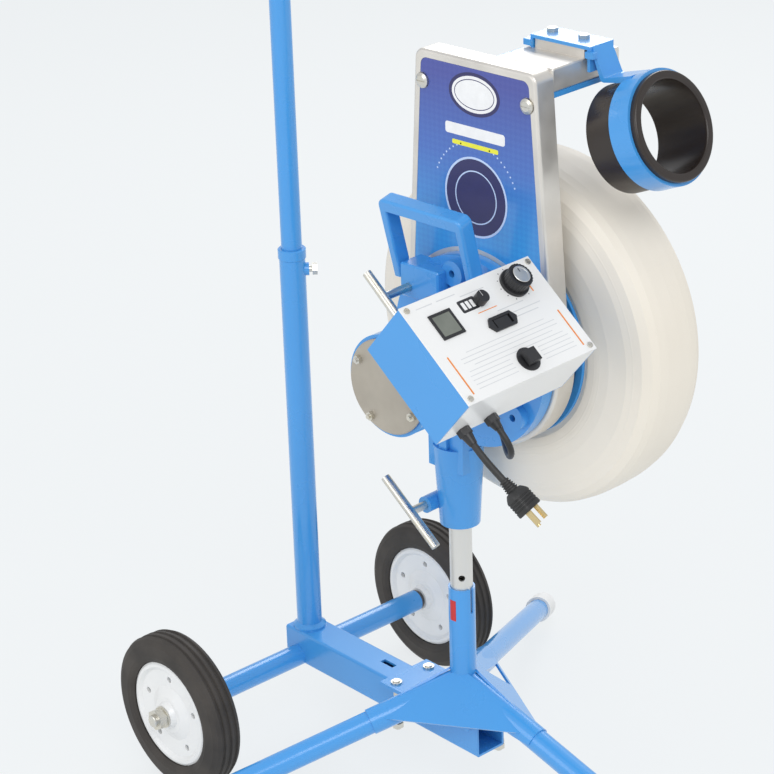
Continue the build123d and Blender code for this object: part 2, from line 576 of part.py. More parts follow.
with BuildPart() as wheel_rim:
    edge = WHEEL_W / 2 - 0.6
    turned(
        [(edge, 117), (edge - 3, 118), (edge - 4.1, 114), (edge - 4.2, 111.8), (edge - 12, 111.6), (edge - 14, 104),
         (0, 101), (-edge + 14, 104), (-edge + 12, 111.6), (-edge + 4.2, 111.8), (-edge + 4.1, 114),
         (-edge + 3, 118), (-edge, 117), (-edge + 1, 108), (-edge + 11, 107), (-edge + 12, 101),
         (0, 98), (edge - 12, 101), (edge - 11, 107), (edge - 1, 108)],
        wheel_centre,
    )
    # the slotted disc is welded into the rim
    bar((DISC_X, WHEEL_Y, WHEEL_Z), (DISC_X + 5, WHEEL_Y, WHEEL_Z), 101.5)
    bar((DISC_X - 1, WHEEL_Y, WHEEL_Z), (DISC_X + 6, WHEEL_Y, WHEEL_Z), 22.05, Mode.SUBTRACT)
    for step in range(6):
        slot_angle = 60 * step
        for slot_spread in (-9, 0, 9):
            low = wheel_point(DISC_X - 1, 74, slot_angle + slot_spread)
            high = wheel_point(DISC_X + 6, 74, slot_angle + slot_spread)
            bar(low, high, 10, Mode.SUBTRACT)
        bar(wheel_point(DISC_X - 1, 34, slot_angle + 30), wheel_point(DISC_X + 6, 34, slot_angle + 30),
            4.1, Mode.SUBTRACT)
keep(wheel_rim, "wheel_rim")

with BuildPart() as wheel_hub:
    turned([(36, SHAFT_R), (36, 22), (DISC_X + 5, 22), (DISC_X + 5, 44), (DISC_X + 12, 44), (DISC_X + 12, 24),
            (90, 21), (90, SHAFT_R)], (0, WHEEL_Y, WHEEL_Z))
    for step in range(6):
        bolt_angle = 60 * step + 30
        bar(wheel_point(DISC_X, 34, bolt_angle), wheel_point(DISC_X + 13, 34, bolt_angle), 4.1, Mode.SUBTRACT)
keep(wheel_hub, "wheel_hub")

with BuildPart() as wheel_bolts:
    for step in range(6):
        bolt_angle = 60 * step + 30
        bar(wheel_point(DISC_X, 34, bolt_angle), wheel_point(DISC_X + 12, 34, bolt_angle), 4)
        hexagon(wheel_point(DISC_X - 5, 34, bolt_angle), wheel_point(DISC_X, 34, bolt_angle), 13)
        hexagon(wheel_point(DISC_X + 12, 34, bolt_angle), wheel_point(DISC_X + 18.5, 34, bolt_angle), 13)
    # washer and nut on the end of the shaft
    bar((90, WHEEL_Y, WHEEL_Z), (92.5, WHEEL_Y, WHEEL_Z), 18)
    hexagon((92.5, WHEEL_Y, WHEEL_Z), (107, WHEEL_Y, WHEEL_Z), 28)
    bar((89, WHEEL_Y, WHEEL_Z), (108, WHEEL_Y, WHEEL_Z), SHAFT_R + RUNNING, Mode.SUBTRACT)
keep(wheel_bolts, "wheel_bolts")

# ---------------------------------------------------------------- arm, pad and chute above the wheel
ARM_X0 = PLATE_X + PLATE_DEPTH
ARM_X1 = 141.0
ARM_Y0 = WHEEL_Y - PLATE_HALF_TOP
ARM_Y1 = -40.0
ARM_TOP = WHEEL_Z + PLATE_TOP
ARM_Z0 = 924.0
BRIDGE = (80.0, 119.0)            # x of the chute bracket's two edges
BOLT_SPOTS = [(103.0, -57.0), (103.0, -102.0)]

with BuildPart() as top_arm:
    block((ARM_X0, ARM_Y0, ARM_Z0), (ARM_X1, ARM_Y1, ARM_TOP), bevel=1.5)
    block((ARM_X0 + 6, ARM_Y0 + 5, ARM_Z0 - 1), (ARM_X1 - 5, ARM_Y1 - 5, ARM_TOP - 6), Mode.SUBTRACT)
    for bolt_x, bolt_y in BOLT_SPOTS:
        bar((bolt_x, bolt_y, ARM_TOP - 10), (bolt_x, bolt_y, ARM_TOP + 1), 3.1, Mode.SUBTRACT)
keep(top_arm, "top_arm")

PAD_Z0 = WHEEL_Z + WHEEL_R + 2 * BALL_R - 15

with BuildPart() as pad_plate:
    block((ARM_X0, ARM_Y0, ARM_Z0 - 6), (ARM_X1, 22, ARM_Z0))
    block((ARM_X0, ARM_Y0, 872), (ARM_X0 + 4, ARM_Y0 + 60, ARM_Z0 - 6))
    chamfer(pad_plate.edges().filter_by(Axis.Z), 1.5)
keep(pad_plate, "pad_plate")

with BuildPart() as pad:
    with BuildSketch(Plane(origin=(62, 0, 0), x_dir=(0, 1, 0), z_dir=(1, 0, 0))):
        with BuildLine():
            Polyline((-100, ARM_Z0 - 6), (-100, ARM_Z0 - 9), (-84, PAD_Z0), (12, PAD_Z0),
                     (20, PAD_Z0 + 3), (20, ARM_Z0 - 6), close=True)
        make_face()
    extrude(amount=75)
keep(pad, "compression_pad")

with BuildPart() as bridge:
    block((BRIDGE[0], -130, 961), (BRIDGE[1], -45, 965))
    block((BRIDGE[0], -49, ARM_TOP), (BRIDGE[1], -45, 961))
    block((BRIDGE[0], -130, 937), (BRIDGE[1], -126, 961))
    # a small ear bent out at each end
    block((BRIDGE[0] - 4, -49, 953), (BRIDGE[0] + 8, -38, 960))
    block((BRIDGE[0] - 4, -137, 953), (BRIDGE[0] + 4, -126, 960))
    for bolt_x, bolt_y in BOLT_SPOTS:
        bar((bolt_x, bolt_y, 955), (bolt_x, bolt_y, 970), 3.1, Mode.SUBTRACT)
keep(bridge, "chute_bridge")

with BuildPart() as bridge_spacer:
    block((BRIDGE[0] + 1, -121, ARM_TOP), (BRIDGE[1] - 1, -51, 961))
    for bolt_x, bolt_y in BOLT_SPOTS:
        bar((bolt_x, bolt_y, 940), (bolt_x, bolt_y, 970), 3.1, Mode.SUBTRACT)
keep(bridge_spacer, "bridge_spacer")

STRAP_S0 = 8.0                    # the ring strap's edges, along the chute from its mouth
STRAP_S1 = 36.0
STRAP_T = 3.6
LEAF_W = 32.0

with BuildPart() as chute_strap:
    with BuildSketch(chute_mouth.offset(STRAP_S0)):
        Circle(CHUTE_R + STRAP_T)
    extrude(amount=STRAP_S1 - STRAP_S0)
    # leaf from the bridge's front edge, bent forward to lie on the ring
    with BuildSketch(Plane(origin=(BRIDGE[0] + 4, 0, 0), x_dir=(0, 1, 0), z_dir=(1, 0, 0))):
        with BuildLine():
            Polyline((-130, 964), (-130, 956), (-140.5, 930.6), (-142.5, 928.2), (-145.5, 927.6),
                     (-183, 934), (-183, 942), (-148.5, 933), (-146, 933.2), (-144.4, 935), close=True)
        make_face()
    extrude(amount=LEAF_W)
    with BuildSketch(chute_mouth):
        Circle(CHUTE_R)
    extrude(amount=CHUTE_LENGTH, mode=Mode.SUBTRACT)
keep(chute_strap, "chute_strap")

with BuildPart() as chute:
    with BuildSketch(chute_mouth):
        Circle(CHUTE_R)
        Circle(CHUTE_BORE_R, mode=Mode.SUBTRACT)
    extrude(amount=CHUTE_LENGTH)
    rim_edges = chute.faces().sort_by(Axis(CHUTE_MOUTH, chute_in))[0].edges()
    fillet(rim_edges, 2.5)
keep(chute, "feed_chute")

# ---------------------------------------------------------------- control box
GLAND_1 = (32.0, 64.0)            # across the box, and depth behind the panel
GLAND_2 = (74.0, 64.0)
KNOB_SPOT = (155.0, 23.0)
PRESET_SPOT = (98.0, 26.0)
ROCKER_SPOT = (108.0, 57.0)
BREAKER_SPOT = (106.0, 106.0)
LCD_SPOT = (41.0, 36.0)
CORNERS = [(6.2, 6.2), (BOX_W - 6.2, 6.2), (6.2, BOX_H - 6.2), (BOX_W - 6.2, BOX_H - 6.2)]


def box_block(low, high, mode=Mode.ADD):
    """Block in the box's own frame: (across, down, out) from the panel's top left corner."""
    size = [abs(b - a) for a, b in zip(low, high)]
    middle = [(a + b) / 2 for a, b in zip(low, high)]
    place = Location(Plane(origin=on_panel(*middle), x_dir=panel.x_dir, z_dir=panel.z_dir))
    with Locations(place):
        Box(*size, mode=mode)


def box_bar(spot, low, high, radius, mode=Mode.ADD):
    """Round bar square to the panel, between two heights over its face."""
    bar(on_panel(*spot, low), on_panel(*spot, high), radius, mode)


with BuildPart() as control_case:
    box_block((0.3, 0.3, -BOX_D), (BOX_W - 0.3, BOX_H - 0.3, -BOX_D + SHEET))
    for end in (0.3, BOX_W - 0.3 - SHEET):
        box_block((end, 0.3, -BOX_D), (end + SHEET, BOX_H - 0.3, -SHEET))
keep(control_case, "control_case")

with BuildPart() as control_cover:
    box_block((0, 0, -SHEET), (BOX_W, BOX_H, 0))
    inside = 0.3 + SHEET + 0.05
    for edge in (0.0, BOX_H - SHEET):
        box_block((inside, edge, -BOX_D + SHEET), (BOX_W - inside, edge + SHEET, -SHEET))
    for spot in CORNERS:
        box_bar(spot, -3, 1, 1.9, Mode.SUBTRACT)
    box_bar(KNOB_SPOT, -3, 1, 4.6, Mode.SUBTRACT)
    box_bar(PRESET_SPOT, -3, 1, 3.4, Mode.SUBTRACT)
    box_bar(BREAKER_SPOT, -3, 1, 6, Mode.SUBTRACT)
    box_block((LCD_SPOT[0] - 14, LCD_SPOT[1] - 14, -3), (LCD_SPOT[0] + 14, LCD_SPOT[1] + 14, 1),
              Mode.SUBTRACT)
    box_block((ROCKER_SPOT[0] - 15, ROCKER_SPOT[1] - 7, -3), (ROCKER_SPOT[0] + 15, ROCKER_SPOT[1] + 7, 1),
              Mode.SUBTRACT)
    for across, depth in (GLAND_1, GLAND_2):
        bar(on_panel(across, BOX_H - 5, -depth), on_panel(across, BOX_H + 2, -depth), 6.05, Mode.SUBTRACT)
keep(control_cover, "control_cover")

with BuildPart() as head_screws:
    for bolt_x, bolt_y in BOLT_SPOTS:
        bar((bolt_x, bolt_y, ARM_TOP - 9), (bolt_x, bolt_y, 965), 3)
        hexagon((bolt_x, bolt_y, 965), (bolt_x, bolt_y, 969.5), 11)
    # two large round heads on the housing's face
    for spot_y, spot_z in SCREW_SPOTS:
        y = WHEEL_Y + spot_y
        z = WHEEL_Z + spot_z
        turned([(-2.4, 0), (-2.4, 5.5), (-0.6, 8.7), (2.7, 8.7), (2.7, 4), (9.5, 4), (9.5, 0)], (0, y, z))
        block((-3, y - 6, z - 0.8), (-1.4, y + 6, z + 0.8), Mode.SUBTRACT)
    # four pan heads at the corners of the control panel
    for spot in CORNERS:
        box_bar(spot, -6, 0, 1.8)
        box_bar(spot, 0, 1.8, 3.4)
        box_block((spot[0] - 3, spot[1] - 0.5, 1.1), (spot[0] + 3, spot[1] + 0.5, 2), Mode.SUBTRACT)
keep(head_screws, "head_screws")

with BuildPart() as display:
    box_block((LCD_SPOT[0] - 16, LCD_SPOT[1] - 15.5, 0), (LCD_SPOT[0] + 16, LCD_SPOT[1] + 15.5, 1.6))
    box_block((LCD_SPOT[0] - 13.6, LCD_SPOT[1] - 13.6, -14), (LCD_SPOT[0] + 13.6, LCD_SPOT[1] + 13.6, 0))
    box_block((LCD_SPOT[0] - 13, LCD_SPOT[1] - 12.5, 0.9), (LCD_SPOT[0] + 13, LCD_SPOT[1] + 12.5, 2),
              Mode.SUBTRACT)
keep(display, "display")

with BuildPart() as speed_knob:
    box_bar(KNOB_SPOT, 0.4, 4, 17)
    box_bar(KNOB_SPOT, 4, 17, 14.5)
    for step in range(24):
        flute = radians(15 * step)
        spot = (KNOB_SPOT[0] + 15.6 * cos(flute), KNOB_SPOT[1] + 15.6 * sin(flute))
        box_bar(spot, 4, 18, 1.6, Mode.SUBTRACT)
    # turned cap, and the shaft that runs down into the potentiometer
    box_bar(KNOB_SPOT, 17, 18.6, 10.5)
    box_bar(KNOB_SPOT, -18, 1, 3)
keep(speed_knob, "speed_knob")

with BuildPart() as preset_knob:
    box_bar(PRESET_SPOT, -12, 3, 2)
    box_bar(PRESET_SPOT, 2, 11, 7.5)
    box_block((PRESET_SPOT[0] - 0.8, PRESET_SPOT[1] - 8, 10), (PRESET_SPOT[0] + 0.8, PRESET_SPOT[1], 12),
              Mode.SUBTRACT)
keep(preset_knob, "selector_knob")

with BuildPart() as rocker_frame:
    with BuildSketch(Plane(origin=on_panel(*ROCKER_SPOT), x_dir=panel.x_dir, z_dir=panel.z_dir)):
        with BuildLine():
            Polyline((-21, 0), (-15.5, 8.5), (15.5, 8.5), (21, 0), (15.5, -8.5), (-15.5, -8.5), close=True)
        make_face()
    extrude(amount=2.4)
    box_block((ROCKER_SPOT[0] - 14.8, ROCKER_SPOT[1] - 6.8, -16),
              (ROCKER_SPOT[0] + 14.8, ROCKER_SPOT[1] + 6.8, 0))
    box_block((ROCKER_SPOT[0] - 13, ROCKER_SPOT[1] - 5.2, -6), (ROCKER_SPOT[0] + 13, ROCKER_SPOT[1] + 5.2, 3),
              Mode.SUBTRACT)
    # the circuit breaker's body and round plate, pushed in beside it
    box_bar(BREAKER_SPOT, 0, 1.2, 14)
    box_bar(BREAKER_SPOT, -22, 0, 5.9)
    box_bar(BREAKER_SPOT, -6, 3, 4.6, Mode.SUBTRACT)
keep(rocker_frame, "switch_bodies")

with BuildPart() as rocker:
    with BuildSketch(Plane(origin=on_panel(ROCKER_SPOT[0], ROCKER_SPOT[1] + 4.9, 0),
                           x_dir=(1, 0, 0), z_dir=-panel_down)):
        with BuildLine():
            Polyline((-12, 2.6), (-10.6, -1.5), (10.6, -1.5), (12, 2.6), (0, 4.2), close=True)
        make_face()
    extrude(amount=9.8)
    # its pivot pin
    bar(on_panel(ROCKER_SPOT[0], ROCKER_SPOT[1] - 4.9, -2),
        on_panel(ROCKER_SPOT[0], ROCKER_SPOT[1] + 4.9, -2), 1.6)
keep(rocker, "power_rocker")

with BuildPart() as breaker_button:
    box_bar(BREAKER_SPOT, -2.4, 4, 4.3)
    box_block((BREAKER_SPOT[0] - 8, BREAKER_SPOT[1] - 8, 3.6), (BREAKER_SPOT[0] + 8, BREAKER_SPOT[1] + 8, 10))
keep(breaker_button, "breaker_button")

BOARD_OUT = -28.0

with BuildPart() as circuit_board:
    box_block((12, 14, BOARD_OUT - 1.6), (BOX_W - 12, 92, BOARD_OUT))
    for across, down, size in ((30, 66, 16), (62, 70, 12), (150, 62, 20)):
        box_block((across, down, BOARD_OUT), (across + size, down + size, BOARD_OUT + 11))
    for across in (16, BOX_W - 16):
        for down in (18, 88):
            box_bar((across, down), -BOX_D + SHEET, BOARD_OUT - 1.6, 3)
    # the speed potentiometer and the selector are soldered to it
    box_bar(KNOB_SPOT, BOARD_OUT, -6, 12)
    box_bar(KNOB_SPOT, -6, 0, 4.5)
    box_bar(KNOB_SPOT, -22, 1, 3 + RUNNING, Mode.SUBTRACT)
    box_bar(PRESET_SPOT, BOARD_OUT, -6, 7)
    box_bar(PRESET_SPOT, -6, 1.6, 3.3)
    box_bar(PRESET_SPOT, -15, 2, 2 + RUNNING, Mode.SUBTRACT)
keep(circuit_board, "circuit_board")

with BuildPart() as control_bracket:
    bar((-143, WHEEL_Y, WHEEL_Z), (-108, WHEEL_Y, WHEEL_Z), MOTOR_R + 4)
    box_block((87, 6, -BOX_D - 50), (121, 36, -BOX_D))
    box_block((92, 2, -BOX_D - 40), (116, 40, -BOX_D - 4), Mode.SUBTRACT)
    bar((-150, WHEEL_Y, WHEEL_Z), (-100, WHEEL_Y, WHEEL_Z), MOTOR_R + RUNNING, Mode.SUBTRACT)
keep(control_bracket, "control_bracket")

# ---------------------------------------------------------------- glands, cord, plug and motor lead
GLAND_NUT = 8.0
RELIEF = 12.0


def gland(across, depth, cable_r, relief):
    """Cable gland in the box's lower wall: nut inside, hexagon outside, then a tapered sleeve."""
    wall = on_panel(across, BOX_H, -depth)
    inner = wall - panel_down * (SHEET + 4)
    tip = wall + panel_down * GLAND_NUT
    bar(inner, wall, 6)
    bar(inner, inner + panel_down * 3.9, 8)
    hexagon(wall, tip, 14)
    with Locations(Plane(origin=tip, x_dir=(1, 0, 0), z_dir=panel_down).location):
        Cone(6.6, cable_r + 0.8, relief, align=CENTRE_MIN)
    bar(inner - panel_down * 2, tip + panel_down * (relief - 6), cable_r, Mode.SUBTRACT)


with BuildPart() as power_gland:
    gland(*GLAND_1, CORD_D / 2, RELIEF)
keep(power_gland, "power_gland")


def cord_radii(points):
    """Arc radius for each corner of a cord's route: as large as its two runs allow."""
    radii = []
    for before, corner, after in zip(points, points[1:], points[2:]):
        run_in = Vector(*corner) - Vector(*before)
        run_out = Vector(*after) - Vector(*corner)
        turn = radians(run_in.get_angle(run_out))
        radii.append(0.45 * min(run_in.length, run_out.length) / tan(turn / 2))
    return radii


def cord(points, diameter, name):
    """Round cord along straight runs joined by tangent arcs."""
    radii = cord_radii(points)
    with BuildLine() as route:
        FilletPolyline(*points, radius=radii)
    path = route.wires()[0]
    with BuildPart() as tube:
        with BuildSketch(Plane(origin=path @ 0, z_dir=path % 0)) as section:
            Circle(diameter / 2)
        sweep(section.sketch, path=path)
    keep(tube, name)
    expected = pi * diameter ** 2 / 4 * path.length
    print(f"{name}: length {path.length:.1f}, radii {[round(r) for r in radii]},"
          f" volume ratio {tube.part.volume / expected:.4f}")


cord_exit = on_panel(GLAND_1[0], BOX_H + GLAND_NUT + RELIEF, -GLAND_1[1])
CORD_ROUTE = [
    tuple(cord_exit),
    tuple(cord_exit + panel_down * 15),
    tuple(cord_exit + panel_down * 31 + Vector(2, 0, -0.5)),
    tuple(cord_exit + panel_down * 47 + Vector(5.4, 0, -1.6)),
]
cord(CORD_ROUTE, CORD_D, "power_cord")

plug_in = (Vector(*CORD_ROUTE[-1]) - Vector(*CORD_ROUTE[-2])).normalized()
plug_plane = Plane(origin=CORD_ROUTE[-1], x_dir=Vector(1, 0, 0), z_dir=plug_in)

with BuildPart() as plug_body:
    with Locations(plug_plane.location):
        Cone(5.2, 7.5, 16, align=CENTRE_MIN)
    with BuildSketch(plug_plane.offset(14)):
        RectangleRounded(20, 15, 5)
    with BuildSketch(plug_plane.offset(21)):
        RectangleRounded(27, 22, 5)
    loft()
    with BuildSketch(plug_plane.offset(21)):
        RectangleRounded(27, 22, 5)
    extrude(amount=20)
keep(plug_body, "plug_body")

with BuildPart() as plug_pins:
    with BuildSketch(plug_plane.offset(41)):
        with Locations((-6.35, 3), (6.35, 3)):
            Rectangle(1.5, 6.3)
    extrude(amount=16)
    with BuildSketch(plug_plane.offset(41)):
        with Locations((0, -6.5)):
            Circle(2.4)
    extrude(amount=18.5)
keep(plug_pins, "plug_pins")

lead_exit = on_panel(GLAND_2[0], BOX_H + GLAND_NUT + 8, -GLAND_2[1])
LEAD_X = -66.0
LEAD_IN = 205.0                   # angle at which the lead enters the motor
lead_seat = wheel_point(LEAD_X, MOTOR_R - 2, LEAD_IN)
lead_end = wheel_point(LEAD_X, MOTOR_R + 12, LEAD_IN)

with BuildPart() as lead_glands:
    gland(*GLAND_2, LEAD_D / 2, 8)
    bar(lead_seat, lead_end, 7)
    bar((-130, WHEEL_Y, WHEEL_Z), (-30, WHEEL_Y, WHEEL_Z), MOTOR_R + RUNNING, Mode.SUBTRACT)
keep(lead_glands, "motor_lead_glands")

LEAD_ROUTE = [
    tuple(lead_exit),
    tuple(lead_exit + panel_down * 13),
    (-153, -221, 600),
    (-146, -214, 589),
    (-132, -199, 579),
    (-115, -180, 573),
    (-97, -161, 570),
    (-80, -142, 570),
    wheel_point(LEAD_X, MOTOR_R + 42, LEAD_IN),
    lead_end,
]
cord(LEAD_ROUTE, LEAD_D, "motor_lead")
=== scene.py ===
import json
from math import cos, pi, radians, sin

import bmesh
import bpy
from mathutils import Matrix, Vector


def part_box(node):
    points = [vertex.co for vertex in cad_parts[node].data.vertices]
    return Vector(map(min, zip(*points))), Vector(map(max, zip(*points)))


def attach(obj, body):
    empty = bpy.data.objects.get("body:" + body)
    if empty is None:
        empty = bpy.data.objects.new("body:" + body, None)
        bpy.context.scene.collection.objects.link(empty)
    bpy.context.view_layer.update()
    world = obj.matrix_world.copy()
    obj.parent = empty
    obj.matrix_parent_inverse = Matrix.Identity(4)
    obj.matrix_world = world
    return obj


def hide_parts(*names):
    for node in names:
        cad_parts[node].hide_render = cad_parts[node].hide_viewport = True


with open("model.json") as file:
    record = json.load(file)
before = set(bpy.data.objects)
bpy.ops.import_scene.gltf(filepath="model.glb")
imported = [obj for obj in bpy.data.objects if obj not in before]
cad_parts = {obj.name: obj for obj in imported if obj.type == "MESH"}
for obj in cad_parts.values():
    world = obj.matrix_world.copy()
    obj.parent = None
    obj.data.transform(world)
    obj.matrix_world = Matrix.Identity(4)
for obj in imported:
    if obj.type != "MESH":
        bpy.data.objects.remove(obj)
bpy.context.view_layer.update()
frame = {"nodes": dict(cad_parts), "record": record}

MM = 0.001
record = frame["record"]
joints = {joint["name"]: joint for joint in record["behaviour"]["joints"]}
X = Vector((1, 0, 0))


def joint_pos(name):
    return Vector(joints[name]["pos_m"])


def joint_axis(name):
    return Vector(joints[name]["axis"]).normalized()


# ---------------------------------------------------------------- places worked out from the record
wheel_centre = joint_pos("throwing_wheel_spin")
mast_axis = joint_pos("head_swivel")
panel_out = joint_axis("speed_dial_turn")
panel_down = joint_axis("power_rocker_tilt")
KNOB_SPOT = (155.0, 23.0)
KNOB_LIFT = 10.0
panel_corner = (
    joint_pos("speed_dial_turn") - panel_out * (KNOB_LIFT * MM)
    - X * (KNOB_SPOT[0] * MM) - panel_down * (KNOB_SPOT[1] * MM)
)
PANEL_H = 125.7              # mm down the panel
MAST_Y = mast_axis.y / MM


def on_panel(across, down, out=0.0):
    """Point on the control box, in mm from its top left corner and out of its face."""
    return panel_corner + X * (across * MM) + panel_down * (down * MM) + panel_out * (out * MM)


def wheel_point(x, radius, angle):
    """Point in mm along, and at a radius and angle about, the throwing wheel's axis."""
    turn = radians(angle)
    reach = radius * MM
    return Vector((x * MM, wheel_centre.y + reach * cos(turn), wheel_centre.z + reach * sin(turn)))


def from_mast(x, y, z):
    """Point in mm with the mast's axis as its x and y zero."""
    return Vector((x * MM, (y + MAST_Y) * MM, z * MM))


# ---------------------------------------------------------------- camera
CAMERA_AT = Vector((-1.92647, -1.77963, 1.71897))
CAMERA_HEADING = radians(-44.74)
CAMERA_PITCH = radians(23.55)
CAMERA_ROLL = radians(-1.91)
CAMERA_LENS = 117.69


def make_camera():
    right = Vector((cos(CAMERA_HEADING), sin(CAMERA_HEADING), 0))
    level = Vector((-sin(CAMERA_HEADING), cos(CAMERA_HEADING), 0))
    ahead = level * cos(CAMERA_PITCH) - Vector((0, 0, sin(CAMERA_PITCH)))
    above = right.cross(ahead)
    across = cos(CAMERA_ROLL) * right + sin(CAMERA_ROLL) * above
    upward = cos(CAMERA_ROLL) * above - sin(CAMERA_ROLL) * right
    data = bpy.data.cameras.new("camera")
    data.lens = CAMERA_LENS
    data.sensor_width = 36
    data.clip_end = 50
    camera = bpy.data.objects.new("camera", data)
    turned = Matrix((across, upward, -ahead)).transposed().to_4x4()
    camera.matrix_world = Matrix.Translation(CAMERA_AT) @ turned
    bpy.context.collection.objects.link(camera)
    bpy.context.scene.camera = camera


make_camera()


# ---------------------------------------------------------------- material kit
class Finish:
    """A node material built step by step on one Principled shader."""

    def __init__(self, name, color, rough, metal=0.0, coat=0.0):
        self.material = bpy.data.materials.new(name)
        self.material.use_nodes = True
        self.nodes = self.material.node_tree.nodes
        self.links = self.material.node_tree.links
        self.shader = self.nodes["Principled BSDF"]
        self.shader.inputs["Base Color"].default_value = (*color, 1)
        self.shader.inputs["Roughness"].default_value = rough
        self.shader.inputs["Metallic"].default_value = metal
        self.shader.inputs["Coat Weight"].default_value = coat
        self.shader.inputs["Coat Roughness"].default_value = 0.12
        self.normal = None

    def place(self, scale=(1, 1, 1)):
        """Position on the object, stretched by scale."""
        coordinates = self.nodes.new("ShaderNodeTexCoord")
        mapping = self.nodes.new("ShaderNodeMapping")
        mapping.inputs["Scale"].default_value = scale
        self.links.new(coordinates.outputs["Object"], mapping.inputs["Vector"])
        return mapping.outputs["Vector"]

    def noise(self, scale, detail=3.0, stretch=(1, 1, 1)):
        node = self.nodes.new("ShaderNodeTexNoise")
        node.inputs["Scale"].default_value = scale
        node.inputs["Detail"].default_value = detail
        self.links.new(self.place(stretch), node.inputs["Vector"])
        return node.outputs["Fac"]

    def ramp(self, value, stops):
        """Colour or grey ramp over a value: stops are (position, colour)."""
        node = self.nodes.new("ShaderNodeValToRGB")
        node.color_ramp.elements[0].position = stops[0][0]
        node.color_ramp.elements[0].color = (*stops[0][1], 1)
        node.color_ramp.elements[1].position = stops[-1][0]
        node.color_ramp.elements[1].color = (*stops[-1][1], 1)
        for position, color in stops[1:-1]:
            node.color_ramp.elements.new(position).color = (*color, 1)
        self.links.new(value, node.inputs["Fac"])
        return node.outputs["Color"]

    def spread(self, value, low, high, start=0.3, end=0.7):
        """A value between low and high as the input runs from start to end."""
        node = self.nodes.new("ShaderNodeMapRange")
        node.inputs["From Min"].default_value = start
        node.inputs["From Max"].default_value = end
        node.inputs["To Min"].default_value = low
        node.inputs["To Max"].default_value = high
        self.links.new(value, node.inputs["Value"])
        return node.outputs["Result"]

    def mottle(self, color, other, scale=9.0):
        """Colour that drifts softly between two tones."""
        tones = self.ramp(self.noise(scale), [(0.3, color), (0.7, other)])
        self.links.new(tones, self.shader.inputs["Base Color"])

    def wear(self, low, high, scale=14.0, stretch=(1, 1, 1)):
        """Roughness that drifts between low and high."""
        rough = self.spread(self.noise(scale, 5, stretch), low, high)
        self.links.new(rough, self.shader.inputs["Roughness"])

    def bump(self, height, depth, strength=1.0):
        """Adds a height field, depth in mm, on top of what is there."""
        node = self.nodes.new("ShaderNodeBump")
        node.inputs["Strength"].default_value = strength
        node.inputs["Distance"].default_value = depth * MM
        self.links.new(height, node.inputs["Height"])
        if self.normal:
            self.links.new(self.normal, node.inputs["Normal"])
        self.normal = node.outputs["Normal"]
        self.links.new(self.normal, self.shader.inputs["Normal"])

    def math(self, kind, first, second=None):
        node = self.nodes.new("ShaderNodeMath")
        node.operation = kind
        for socket, value in zip(node.inputs, (first, second)):
            if value is None:
                continue
            if isinstance(value, (int, float)):
                socket.default_value = value
            else:
                self.links.new(value, socket)
        return node.outputs["Value"]

    def axis_values(self):
        """The object's x, y and z as three values."""
        node = self.nodes.new("ShaderNodeSeparateXYZ")
        self.links.new(self.place(), node.inputs["Vector"])
        return node.outputs["X"], node.outputs["Y"], node.outputs["Z"]

    def wheel_radius(self):
        """Distance from the throwing wheel's axis."""
        y, z = self.axis_values()[1:]
        dy = self.math("SUBTRACT", y, wheel_centre.y)
        dz = self.math("SUBTRACT", z, wheel_centre.z)
        squares = self.math("ADD", self.math("MULTIPLY", dy, dy), self.math("MULTIPLY", dz, dz))
        return self.math("SQRT", squares)


def shade(color, amount):
    """The colour made darker, or lighter where amount is over 1."""
    return tuple(channel * amount for channel in color)


# ---------------------------------------------------------------- materials
def blue_paint():
    blue = (0.058, 0.325, 0.75)
    finish = Finish("blue_paint", blue, 0.28, coat=0.5)
    finish.mottle(blue, shade(blue, 0.95), 5)
    finish.wear(0.25, 0.31, 12)
    finish.bump(finish.noise(260, 2), 0.04, 0.35)
    return finish.material


def white_paint():
    white = (0.86, 0.86, 0.85)
    finish = Finish("white_paint", white, 0.35, coat=0.3)
    finish.mottle(white, shade(white, 0.95), 7)
    finish.bump(finish.noise(420, 2), 0.03, 0.5)
    return finish.material


def cast_aluminium():
    grey = (0.78, 0.745, 0.69)
    finish = Finish("cast_aluminium", grey, 0.42, metal=0.75)
    finish.mottle(grey, shade(grey, 0.86), 18)
    finish.wear(0.34, 0.52, 40)
    finish.bump(finish.noise(900, 4), 0.05, 0.7)
    return finish.material


def cap_metal():
    grey = (0.50, 0.455, 0.385)
    finish = Finish("cap_metal", grey, 0.45, metal=0.6)
    finish.mottle(grey, shade(grey, 0.84), 22)
    finish.wear(0.38, 0.54, 40)
    finish.bump(finish.noise(900, 4), 0.05, 0.7)
    return finish.material


def aluminium_tube():
    grey = (0.74, 0.73, 0.70)
    finish = Finish("aluminium_tube", grey, 0.32, metal=0.9)
    finish.wear(0.24, 0.42, 30, (1, 1, 0.05))
    finish.bump(finish.noise(700, 3, (1, 1, 0.03)), 0.03, 0.5)
    return finish.material


def zinc_steel():
    grey = (0.66, 0.655, 0.63)
    finish = Finish("zinc_steel", grey, 0.3, metal=1.0)
    finish.mottle(grey, (0.70, 0.66, 0.56), 60)
    finish.wear(0.2, 0.42, 80)
    finish.bump(finish.noise(1200, 3), 0.02, 0.5)
    return finish.material


def dark_steel():
    grey = (0.10, 0.10, 0.105)
    finish = Finish("dark_steel", grey, 0.4, metal=0.8)
    finish.wear(0.3, 0.5, 90)
    return finish.material


def motor_steel():
    blue = (0.04, 0.20, 0.70)
    finish = Finish("motor_steel", blue, 0.36, coat=0.3)
    finish.mottle(blue, shade(blue, 0.8), 12)
    finish.bump(finish.noise(300, 3), 0.06, 0.5)
    return finish.material


